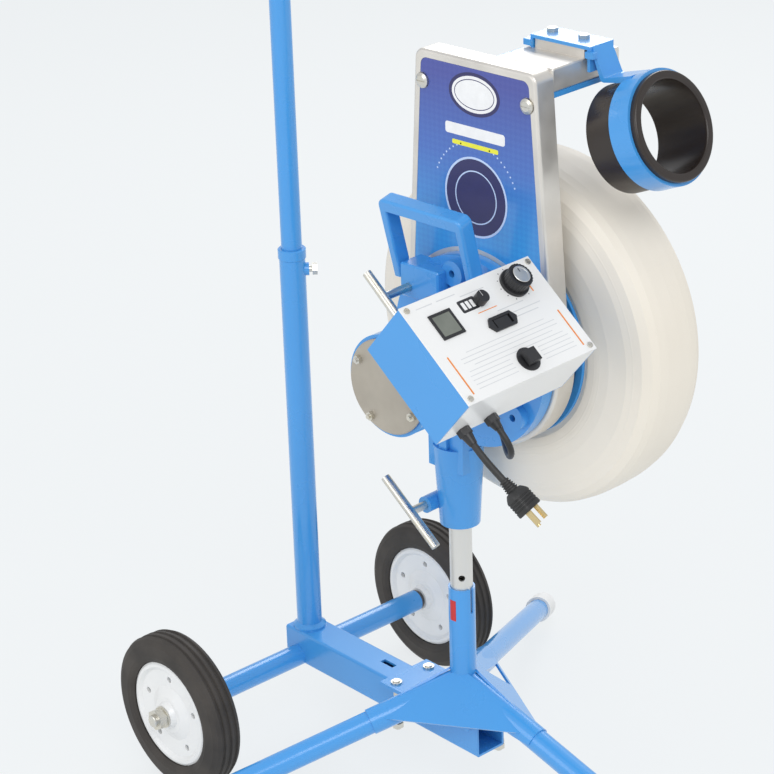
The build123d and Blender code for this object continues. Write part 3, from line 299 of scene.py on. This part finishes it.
def cream_rubber():
    cream = (0.86, 0.80, 0.70)
    finish = Finish("cream_rubber", cream, 0.62)
    finish.mottle(cream, (0.80, 0.74, 0.64), 5)
    finish.wear(0.5, 0.7, 16)
    radius = finish.wheel_radius()
    # moulded lines, at a radius and of a width: two by the bead, one where the sidewall meets the tread
    for ring, width in ((0.134, 0.0012), (0.142, 0.0010), (0.186, 0.0014)):
        away = finish.math("ABSOLUTE", finish.math("SUBTRACT", radius, ring))
        finish.bump(finish.spread(away, 1.0, 0.0, 0.0, width), 0.35, 0.45)
    finish.bump(finish.noise(520, 3), 0.05, 0.6)
    return finish.material


def black_tyre():
    black = (0.030, 0.026, 0.023)
    finish = Finish("black_tyre", black, 0.7)
    finish.mottle(black, (0.055, 0.047, 0.040), 24)
    finish.bump(finish.noise(700, 3), 0.06, 0.7)
    return finish.material


def black_rubber():
    black = (0.018, 0.018, 0.018)
    finish = Finish("black_rubber", black, 0.5)
    finish.mottle(black, (0.03, 0.03, 0.03), 40)
    finish.bump(finish.noise(900, 3), 0.04, 0.6)
    return finish.material


def white_rubber():
    white = (0.84, 0.84, 0.83)
    finish = Finish("white_rubber", white, 0.55)
    finish.mottle(white, shade(white, 0.92), 30)
    finish.bump(finish.noise(600, 3), 0.05, 0.6)
    return finish.material


def black_plastic():
    black = (0.02, 0.02, 0.022)
    finish = Finish("black_plastic", black, 0.38)
    finish.wear(0.3, 0.48, 70)
    finish.bump(finish.noise(1500, 2), 0.02, 0.6)
    return finish.material


def black_tube():
    black = (0.022, 0.015, 0.012)
    finish = Finish("black_tube", black, 0.3)
    finish.mottle(black, (0.028, 0.020, 0.016), 10)
    finish.wear(0.26, 0.34, 14)
    finish.bump(finish.noise(160, 2), 0.03, 0.3)
    return finish.material


def label_print():
    finish = Finish("label_print", (0.1, 0.3, 0.8), 0.3, coat=0.4)
    low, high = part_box("label_plate")
    height = finish.spread(finish.axis_values()[2], 0.0, 1.0, low[2], high[2])
    purple = (0.06, 0.08, 0.34)
    middle = (0.055, 0.16, 0.51)
    blue = (0.045, 0.33, 0.72)
    tint = finish.ramp(height, [(0.25, blue), (0.6, middle), (0.95, purple)])
    # a faint pattern of small squares set on their corners
    checks = finish.nodes.new("ShaderNodeTexChecker")
    checks.inputs["Scale"].default_value = 1.0
    mapping = finish.nodes.new("ShaderNodeMapping")
    mapping.inputs["Scale"].default_value = (200, 200, 200)
    mapping.inputs["Rotation"].default_value = (radians(45), 0, 0)
    coordinates = finish.nodes.new("ShaderNodeTexCoord")
    finish.links.new(coordinates.outputs["Object"], mapping.inputs["Vector"])
    finish.links.new(mapping.outputs["Vector"], checks.inputs["Vector"])
    mix = finish.nodes.new("ShaderNodeMix")
    mix.data_type = "RGBA"
    mix.blend_type = "MULTIPLY"
    finish.links.new(finish.math("MULTIPLY", checks.outputs["Fac"], 0.16), mix.inputs["Factor"])
    finish.links.new(tint, mix.inputs["A"])
    mix.inputs["B"].default_value = (0.3, 0.4, 0.8, 1)
    finish.links.new(mix.outputs["Result"], finish.shader.inputs["Base Color"])
    return finish.material


def pad_rubber():
    black = (0.05, 0.05, 0.055)
    finish = Finish("pad_rubber", black, 0.75)
    finish.mottle(black, shade(black, 1.4), 30)
    finish.bump(finish.noise(400, 4), 0.15, 0.8)
    return finish.material


def circuit_green():
    green = (0.02, 0.16, 0.06)
    finish = Finish("circuit_green", green, 0.4)
    finish.mottle(green, shade(green, 0.7), 120)
    return finish.material


def iron_core():
    grey = (0.16, 0.155, 0.15)
    finish = Finish("iron_core", grey, 0.55, metal=0.6)
    finish.bump(finish.noise(60, 2, (30, 1, 1)), 0.1, 0.6)
    return finish.material


def brass():
    gold = (0.70, 0.56, 0.30)
    finish = Finish("brass", gold, 0.28, metal=1.0)
    finish.wear(0.2, 0.4, 200)
    return finish.material


makers = [blue_paint, white_paint, cast_aluminium, aluminium_tube, zinc_steel, motor_steel, dark_steel,
          cream_rubber, black_tyre, black_rubber, white_rubber, black_plastic, black_tube, label_print,
          pad_rubber, circuit_green, iron_core, brass]
finishes = {maker.__name__: maker() for maker in makers}


def print_ink(name, color):
    """Printed or stuck-on colour, a little uneven."""
    finish = Finish(name, color, 0.42)
    finish.mottle(color, shade(color, 0.93), 90)
    return finish.material


orange_ink = print_ink("orange_ink", (0.86, 0.29, 0.06))
grey_ink = print_ink("grey_ink", (0.66, 0.67, 0.68))
dark_ink = print_ink("dark_ink", (0.03, 0.03, 0.035))
white_ink = print_ink("white_ink", (0.88, 0.88, 0.88))
yellow_ink = print_ink("yellow_ink", (0.85, 0.82, 0.05))
navy_ink = print_ink("navy_ink", (0.03, 0.03, 0.12))
pale_blue_ink = print_ink("pale_blue_ink", (0.55, 0.68, 0.92))
red_ink = print_ink("red_ink", (0.62, 0.03, 0.03))


def display_screen():
    grey = (0.13, 0.145, 0.12)
    finish = Finish("display_screen", grey, 0.16, coat=0.6)
    finish.mottle(grey, (0.18, 0.195, 0.165), 30)
    return finish.material


screen = display_screen()

for subpart in record["subparts"]:
    for slot in frame["nodes"][subpart["node"]].material_slots:
        slot.material = finishes[subpart["material_slot"]]
# the motor's end cap is a duller, warmer casting than the housing
for slot in frame["nodes"]["motor_end_cap"].material_slots:
    slot.material = cap_metal()


# ---------------------------------------------------------------- mesh kit
def add_piece(name, mesh, body, material):
    piece = bpy.data.objects.new(name, mesh)
    bpy.context.collection.objects.link(piece)
    mesh.materials.append(material)
    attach(piece, body)
    return piece


def join_loops(form, first, second):
    """Faces between two closed loops with as many points."""
    for step in range(len(first)):
        after = (step + 1) % len(first)
        form.faces.new((first[step], first[after], second[after], second[step]))


def finished_mesh(name, form, sharp_from=None):
    """The built form as a mesh, smooth below an angle in degrees where one is given."""
    mesh = bpy.data.meshes.new(name)
    bmesh.ops.recalc_face_normals(form, faces=form.faces)
    form.to_mesh(mesh)
    form.free()
    if sharp_from:
        for face in mesh.polygons:
            face.use_smooth = True
        mesh.set_sharp_from_angle(angle=radians(sharp_from))
    return mesh


def sheet_mesh(name, outline, place, thickness):
    """Thin closed plate: outline in mm, put in space by place(u, v, w)."""
    form = bmesh.new()
    low = [form.verts.new(place(u, v, 0.0)) for u, v in outline]
    high = [form.verts.new(place(u, v, thickness)) for u, v in outline]
    form.faces.new(low)
    form.faces.new(high)
    join_loops(form, low, high)
    return finished_mesh(name, form)


def ring_mesh(name, outer, inner, place, thickness):
    """Thin closed ring between two outlines with as many points."""
    form = bmesh.new()
    loops = []
    for outline, height in ((outer, 0.0), (outer, thickness), (inner, thickness), (inner, 0.0)):
        loops.append([form.verts.new(place(u, v, height)) for u, v in outline])
    for first, second in zip(loops, loops[1:] + loops[:1]):
        join_loops(form, first, second)
    return finished_mesh(name, form)


def ellipse(u, v, half_u, half_v, count=48):
    angles = [2 * pi * k / count for k in range(count)]
    return [(u + half_u * cos(angle), v + half_v * sin(angle)) for angle in angles]


def rounded(u, v, half_u, half_v, corner=0.0, count=5):
    """Rectangle about a point, with round corners."""
    points = []
    for turn, (su, sv) in enumerate(((1, 1), (-1, 1), (-1, -1), (1, -1))):
        for k in range(count + 1):
            angle = pi / 2 * (turn + k / count)
            middle_u = u + su * (half_u - corner)
            middle_v = v + sv * (half_v - corner)
            points.append((middle_u + corner * cos(angle), middle_v + corner * sin(angle)))
    return points


# ---------------------------------------------------------------- cords
def cord_curve(name, route, diameter, body, material):
    curve = bpy.data.curves.new(name, "CURVE")
    curve.dimensions = "3D"
    curve.bevel_depth = diameter / 2
    curve.bevel_resolution = 6
    curve.resolution_u = 16
    curve.use_fill_caps = True
    spline = curve.splines.new("NURBS")
    spline.points.add(len(route) - 1)
    for point, place in zip(spline.points, route):
        point.co = (*place, 1)
    spline.order_u = 3
    spline.use_endpoint_u = True
    return add_piece(name, curve, body, material)


GLAND_NUT = 8.0
RELIEF = 12.0
CORD_D = 7.6
LEAD_D = 7.0
GLAND_BACK = 64.0            # mm from the panel's face to the glands' row
cord_exit = on_panel(32, PANEL_H + GLAND_NUT + RELIEF, -GLAND_BACK)
CORD_ROUTE = [
    cord_exit,
    cord_exit + panel_down * (15 * MM),
    cord_exit + panel_down * (31 * MM) + Vector((2, 0, -0.5)) * MM,
    cord_exit + panel_down * (47 * MM) + Vector((5.4, 0, -1.6)) * MM,
]
LEAD_RELIEF = 8.0
LEAD_X = -66.0               # where along the motor the lead goes in, and at what angle about it
LEAD_IN = 205.0
MOTOR_R = 54.9
lead_exit = on_panel(74, PANEL_H + GLAND_NUT + LEAD_RELIEF, -GLAND_BACK)
LEAD_ROUTE = [
    lead_exit,
    lead_exit + panel_down * (13 * MM),
    from_mast(-153, -221, 600),
    from_mast(-146, -214, 589),
    from_mast(-132, -199, 579),
    from_mast(-115, -180, 573),
    from_mast(-97, -161, 570),
    from_mast(-80, -142, 570),
    wheel_point(LEAD_X, MOTOR_R + 42, LEAD_IN),
    wheel_point(LEAD_X, MOTOR_R + 12, LEAD_IN),
]


PLUG_SIDES = 40


def plug_mesh():
    """Ribbed sleeve that swells into a grooved, flat-sided grip."""
    ahead = (CORD_ROUTE[-1] - CORD_ROUTE[-2]).normalized()
    side = (X - ahead * X.dot(ahead)).normalized()
    across = ahead.cross(side)
    # mm along the plug, half sizes across it, and the power that makes the section round or square
    stations = [(0.0, 4.6, 4.6, 2.0), (0.3, 5.2, 5.2, 2.0)]
    for rib in range(5):
        grow = 5.2 + 0.42 * rib
        start = 0.6 + 2.7 * rib
        for along, height in ((0.4, 0.5), (1.5, 0.5), (1.8, -0.6), (2.5, -0.6)):
            stations.append((start + along, grow + height, grow + height, 2.0))
    stations += [(14.6, 9.6, 7.2, 2.4), (17.5, 11.6, 8.9, 2.8), (21.0, 13.2, 10.7, 3.2)]
    for groove in range(4):
        start = 23.5 + 3.4 * groove
        for along, depth in ((0.0, 0.0), (0.5, 0.6), (1.3, 0.6), (1.8, 0.0)):
            stations.append((start + along, 13.4 - depth, 10.9 - depth, 3.4))
    stations += [(39.8, 13.4, 10.9, 3.6), (40.7, 12.9, 10.4, 3.6), (41.0, 12.2, 9.7, 3.6)]
    form = bmesh.new()
    loops = []
    for along, half_u, half_v, power in stations:
        loop = []
        for step in range(PLUG_SIDES):
            angle = 2 * pi * step / PLUG_SIDES
            u = half_u * abs(cos(angle)) ** (2 / power) * (1 if cos(angle) > 0 else -1)
            v = half_v * abs(sin(angle)) ** (2 / power) * (1 if sin(angle) > 0 else -1)
            loop.append(form.verts.new(CORD_ROUTE[-1] + (ahead * along + side * u + across * v) * MM))
        loops.append(loop)
    for first, second in zip(loops, loops[1:]):
        join_loops(form, first, second)
    form.faces.new(loops[0])
    form.faces.new(loops[-1])
    return finished_mesh("plug", form, 35)


def make_cords():
    rubber = finishes["black_rubber"]
    plug = add_piece("plug", plug_mesh(), "head", rubber)
    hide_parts("plug_body")
    power = cord_curve("power_cord_line", CORD_ROUTE, CORD_D * MM, "head", rubber)
    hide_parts("power_cord")
    lead = cord_curve("motor_lead_line", LEAD_ROUTE, LEAD_D * MM, "head", rubber)
    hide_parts("motor_lead")


make_cords()


# ---------------------------------------------------------------- label on the head
LABEL_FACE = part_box("label_plate")[0][0]
LAYER = 0.06                 # mm each printed layer stands over the one below
BADGE_UP = 295.6             # mm over the wheel's axis
ROUNDEL_UP = 178
DOT_ARC_R = 62


def on_label(level):
    """Placer for the label's face: mm across and up from the wheel's axis, at a print layer."""
    def place(u, v, w):
        out = (level * LAYER + w) * MM
        return Vector((LABEL_FACE - out, wheel_centre.y + u * MM, wheel_centre.z + v * MM))
    return place


def label_piece(name, outline, level, ink):
    mesh = sheet_mesh(name, outline, on_label(level), LAYER)
    add_piece(name, mesh, "head", ink)


def label_ring(name, outer, inner, level, ink):
    mesh = ring_mesh(name, outer, inner, on_label(level), LAYER)
    add_piece(name, mesh, "head", ink)


def make_label():
    label_piece("badge_edge", ellipse(0, BADGE_UP, 37.5, 24.5), 0, navy_ink)
    label_piece("badge_face", ellipse(0, BADGE_UP, 33, 20.5), 1, white_ink)
    label_ring("badge_line", ellipse(0, BADGE_UP, 29.5, 17), ellipse(0, BADGE_UP, 28.5, 16), 2, navy_ink)
    label_piece("title_bar", rounded(0, 252, 44, 6.5, 3.2), 0, white_ink)
    label_piece("second_bar", rounded(0, 237, 34, 2.6, 1.3), 0, yellow_ink)
    label_piece("roundel_disc", ellipse(0, ROUNDEL_UP, 45, 45), 0, navy_ink)
    for name, outer, inner in (("edge", 46.5, 44), ("inner", 31, 29.5)):
        label_ring(f"roundel_{name}", ellipse(0, ROUNDEL_UP, outer, outer),
                   ellipse(0, ROUNDEL_UP, inner, inner), 1, pale_blue_ink)
    for number in range(9):
        for side, start in ((0, 22), (1, 110)):
            angle = radians(start + 6 * number)
            spot = (DOT_ARC_R * cos(angle), ROUNDEL_UP + DOT_ARC_R * sin(angle))
            label_piece(f"dot_{side}_{number}", ellipse(*spot, 1.1, 1.1, 10), 0, pale_blue_ink)


make_label()


# ---------------------------------------------------------------- control panel
def panel_place(level):
    """Placer for the panel's face: mm across and down from its corner, at a print layer."""
    def place(u, v, w):
        return on_panel(u, v, level * LAYER + w)
    return place


def panel_piece(name, outline, level, ink):
    mesh = sheet_mesh(name, outline, panel_place(level), LAYER)
    add_piece(name, mesh, "head", ink)


SCREEN_SPOT = (41, 36)       # mm across and down the panel
SELECTOR_SPOT = (98, 26)
SELECTOR_TOP = 10.0          # mm out of the panel's face
CAP_TOP = 18.7
CAP_RIM = 19.1
CAP_UNDER = 17.2
CAP_SIDES = 48
TICK_RING_R = 19.5
LINE_STEP = 5.2
BREAKER_ROW = 98             # from here down, the lines leave room for the breaker


def make_panel():
    for side, across in enumerate((14.5, 185)):
        panel_piece(f"orange_bar_{side}", rounded(across, 92.7, 1.1, 23.8, 0.5, 2), 0, orange_ink)
    panel_piece("orange_line", rounded(101.7, 38.2, 14.3, 0.5, 0.2, 1), 0, orange_ink)
    panel_piece("scale_mark", rounded(173, 34, 1.0, 5, 0.4, 1), 0, orange_ink)
    panel_piece("selector_box", rounded(83, 25, 12.6, 7.6, 2, 3), 0, dark_ink)
    for number in range(3):
        mark = rounded(76.5 + 6.4 * number, 25, 2.3, 4.6, 0.5, 1)
        panel_piece(f"selector_mark_{number}", mark, 1, white_ink)
    # plain rules where such a panel has its lines of print: middle across and down, and half length
    for number, (across, down, half) in enumerate((
        (30, 8.5, 12), (62, 8.5, 14), (98, 13.5, 18), (132, 44, 20), (150, 52, 22), (146, 58, 18),
    )):
        panel_piece(f"rule_{number}", rounded(across, down, half, 0.55, 0.2, 1), 0, grey_ink)
    for number in range(9):
        half = 72 if number % 3 else 60
        down = 72 + LINE_STEP * number
        if down < BREAKER_ROW:
            panel_piece(f"line_{number}", rounded(100, down, half, 0.4, 0.2, 1), 0, grey_ink)
        else:
            panel_piece(f"line_{number}_left", rounded(55, down, 30, 0.4, 0.2, 1), 0, grey_ink)
            panel_piece(f"line_{number}_right", rounded(152, down, 24, 0.4, 0.2, 1), 0, grey_ink)
    for tick in range(11):
        angle = radians(120 + 30 * tick)
        across = KNOB_SPOT[0] + TICK_RING_R * cos(angle)
        down = KNOB_SPOT[1] + TICK_RING_R * sin(angle)
        panel_piece(f"tick_{tick}", ellipse(across, down, 0.7, 0.7, 10), 0, dark_ink)
    window = sheet_mesh("display_window", rounded(*SCREEN_SPOT, 12.7, 12.2, 0.6, 2),
                        lambda u, v, w: on_panel(u, v, 0.95 + w), 0.4)
    add_piece("display_window", window, "head", screen)


def make_dial_cap():
    """Turned metal cap on the speed knob, with a raised rim."""
    profile = [(0, CAP_TOP), (7.6, CAP_TOP), (8.0, CAP_RIM), (9.8, CAP_RIM), (10.3, CAP_TOP),
               (10.3, CAP_UNDER), (0, CAP_UNDER)]
    form = bmesh.new()
    centre = on_panel(*KNOB_SPOT)
    along = panel_out.cross(X)
    loops = []
    for radius, height in profile:
        angles = [2 * pi * step / CAP_SIDES for step in range(CAP_SIDES)] if radius else [0.0]
        loop = []
        for angle in angles:
            reach = X * (radius * cos(angle)) + along * (radius * sin(angle))
            loop.append(form.verts.new(centre + (panel_out * height + reach) * MM))
        loops.append(loop)
    for first, second in zip(loops, loops[1:]):
        if len(first) == len(second):
            join_loops(form, first, second)
            continue
        tip, rim = sorted((first, second), key=len)
        for step in range(CAP_SIDES):
            form.faces.new((tip[0], rim[step], rim[(step + 1) % CAP_SIDES]))
    add_piece("dial_cap", finished_mesh("dial_cap", form, 30), "speed_dial",
              finishes["aluminium_tube"])


def make_pointers():
    """Lines on the dial's cap and on the selector."""
    pointer = sheet_mesh("dial_pointer", rounded(KNOB_SPOT[0], KNOB_SPOT[1] - 5.5, 0.6, 2.4, 0.3, 1),
                         lambda u, v, w: on_panel(u, v, CAP_TOP + w), 0.15)
    add_piece("dial_pointer", pointer, "speed_dial", dark_ink)
    stripe = rounded(SELECTOR_SPOT[0], SELECTOR_SPOT[1] - 3.6, 0.55, 3.2, 0.2, 1)
    mesh = sheet_mesh("selector_pointer", stripe, lambda u, v, w: on_panel(u, v, SELECTOR_TOP + w), 0.3)
    add_piece("selector_pointer", mesh, "selector", white_ink)


make_panel()
make_dial_cap()
make_pointers()


# ---------------------------------------------------------------- sticker round the mast socket
SOCKET_R = 16.0              # mm, the mast socket's outside
STICKER_FOOT = 261
STICKER_TOP = 288
STICKER_STEPS = 8


def make_sticker():
    form = bmesh.new()
    rows = []
    for height, level in ((STICKER_FOOT, 0.0), (STICKER_TOP, 0.0), (STICKER_TOP, 0.2), (STICKER_FOOT, 0.2)):
        reach = SOCKET_R + LAYER + level
        row = []
        for step in range(STICKER_STEPS + 1):
            angle = radians(164 + 4 * step)
            row.append(form.verts.new(from_mast(reach * cos(angle), reach * sin(angle), height)))
        rows.append(row)
    for first, second in zip(rows, rows[1:] + rows[:1]):
        for step in range(STICKER_STEPS):
            form.faces.new((first[step], first[step + 1], second[step + 1], second[step]))
    form.faces.new([row[0] for row in rows])
    form.faces.new([row[-1] for row in rows])
    add_piece("socket_sticker", finished_mesh("socket_sticker", form, 30), "stand", red_ink)


make_sticker()


# ---------------------------------------------------------------- floor and light
def make_floor():
    mesh = bpy.data.meshes.new("floor")
    mesh.from_pydata([(-30, -30, 0), (30, -30, 0), (30, 30, 0), (-30, 30, 0)], [], [(0, 1, 2, 3)])
    floor = bpy.data.objects.new("floor", mesh)
    bpy.context.collection.objects.link(floor)
    finish = Finish("floor_paper", (0.12, 0.122, 0.123), 1.0)
    finish.bump(finish.noise(40, 2), 0.1, 0.2)
    # a lit backdrop, so that it stays even behind the whole machine
    finish.shader.inputs["Specular IOR Level"].default_value = 0.0
    finish.shader.inputs["Emission Color"].default_value = (0.93, 0.96, 0.975, 1)
    finish.shader.inputs["Emission Strength"].default_value = 0.80
    mesh.materials.append(finish.material)


def area_light(name, place, aim, size, power, color=(1, 1, 1)):
    data = bpy.data.lights.new(name, "AREA")
    data.shape = "DISK"
    data.size = size
    data.energy = power
    data.color = color
    light = bpy.data.objects.new(name, data)
    way = (Vector(aim) - Vector(place)).normalized()
    light.matrix_world = Matrix.Translation(place) @ way.to_track_quat("-Z", "Y").to_matrix().to_4x4()
    bpy.context.collection.objects.link(light)


def make_light():
    world = bpy.data.worlds.new("studio")
    bpy.context.scene.world = world
    world.use_nodes = True
    background = world.node_tree.nodes["Background"]
    background.inputs["Color"].default_value = (0.95, 0.97, 1.0, 1)
    background.inputs["Strength"].default_value = 0.75
    middle = (0, 0, 0.6)
    area_light("key", (-1.6, -2.6, 3.4), middle, 2.6, 60)
    area_light("fill", (-3.4, 0.6, 1.8), middle, 2.4, 25)
    area_light("rim", (2.6, 1.6, 2.6), middle, 2.0, 45)
    bpy.context.scene.view_settings.view_transform = "Standard"
    bpy.context.scene.view_settings.exposure = 0.0


make_floor()
make_light()
